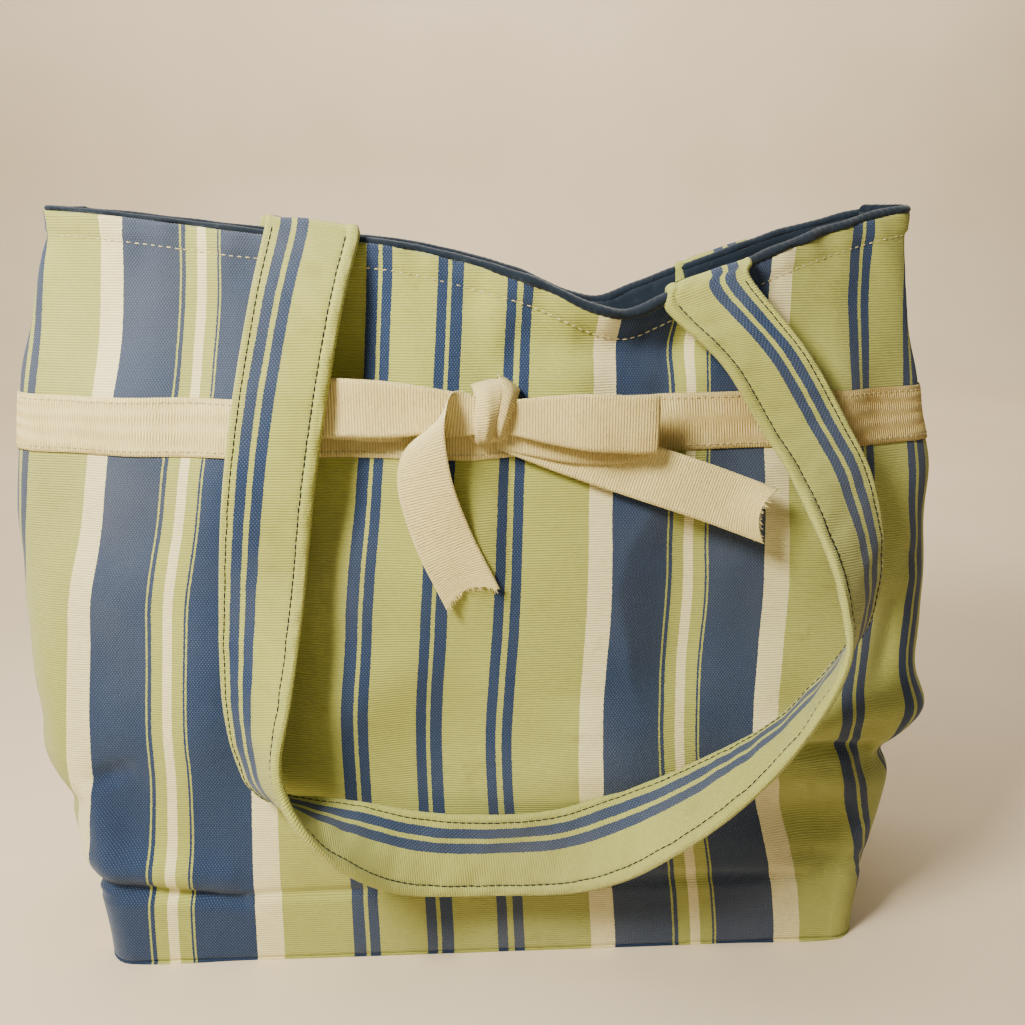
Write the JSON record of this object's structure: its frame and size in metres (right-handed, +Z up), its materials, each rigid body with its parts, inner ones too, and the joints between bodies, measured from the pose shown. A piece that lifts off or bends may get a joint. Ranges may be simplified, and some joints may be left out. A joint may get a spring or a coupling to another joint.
{
  "type": "canvas tote bag",
  "caption": "Open-topped striped canvas tote on a flat base, dark lining, two cloth strap handles hanging outside, ribbon band tied in a bow at the front.",
  "frame": {"origin": "centre of the underside of the base, on the surface the bag stands on", "axes": "+Z up; the front panel with the bow faces -Y; +X runs to the right along the long side of the base"},
  "size_m": [0.443, 0.2079, 0.3546],
  "materials": {
    "striped_canvas": "matte woven",
    "handle_canvas": "matte woven",
    "navy_lining": "matte woven",
    "ivory_ribbon": "ribbed grosgrain",
    "cream_thread": "matte thread",
    "fibre_board": "matte pressed fibre"
  },
  "bodies": {
    "bag": {"back_handle_tab_left": "handle_canvas", "back_handle_tab_right": "handle_canvas", "back_panel": "striped_canvas", "back_seam_allowance_left": "striped_canvas", "back_seam_allowance_right": "striped_canvas", "band_stitches_back": "cream_thread", "band_stitches_front": "cream_thread", "base_board": "fibre_board", "base_panel": "striped_canvas", "bow_knot": "ivory_ribbon", "bow_loop_left": "ivory_ribbon", "bow_loop_right": "ivory_ribbon", "front_handle_tab_left": "handle_canvas", "front_handle_tab_right": "handle_canvas", "front_panel": "striped_canvas", "front_seam_allowance_left": "striped_canvas", "front_seam_allowance_right": "striped_canvas", "lining_back": "navy_lining", "lining_base": "navy_lining", "lining_front": "navy_lining", "ribbon_band_back": "ivory_ribbon", "ribbon_band_front": "ivory_ribbon", "rim_hem_back": "striped_canvas", "rim_hem_front": "striped_canvas", "rim_roll_back": "navy_lining", "rim_roll_front": "navy_lining"},
    "front_handle": {"front_handle_backing_ply": "handle_canvas", "front_handle_face_ply": "handle_canvas"},
    "back_handle": {"back_handle_backing_ply": "handle_canvas", "back_handle_face_ply": "handle_canvas"},
    "bow_tail_left": {"bow_tail_left": "ivory_ribbon"},
    "bow_tail_right": {"bow_tail_right": "ivory_ribbon"}
  },
  "joints": [
    {"name": "front_handle_swing", "type": "hinge", "parent": "bag", "child": "front_handle", "pos_m": [0.0135, -0.0415, 0.3395], "axis": [-0.9973, 0, 0.0737], "range_deg": [0, 168]},
    {"name": "back_handle_swing", "type": "hinge", "parent": "bag", "child": "back_handle", "pos_m": [0.0145, 0.04, 0.3439], "axis": [0.9995, 0, -0.0307], "range_deg": [0, 168]},
    {"name": "left_tail_lift", "type": "hinge", "parent": "bag", "child": "bow_tail_left", "pos_m": [-0.0185, -0.0636, 0.268], "axis": [-1, 0, 0], "range_deg": [0, 70]},
    {"name": "right_tail_swing", "type": "hinge", "parent": "bag", "child": "bow_tail_right", "pos_m": [0.013, -0.0594, 0.2505], "axis": [0, 1, 0], "range_deg": [0, 38]}
  ]
}
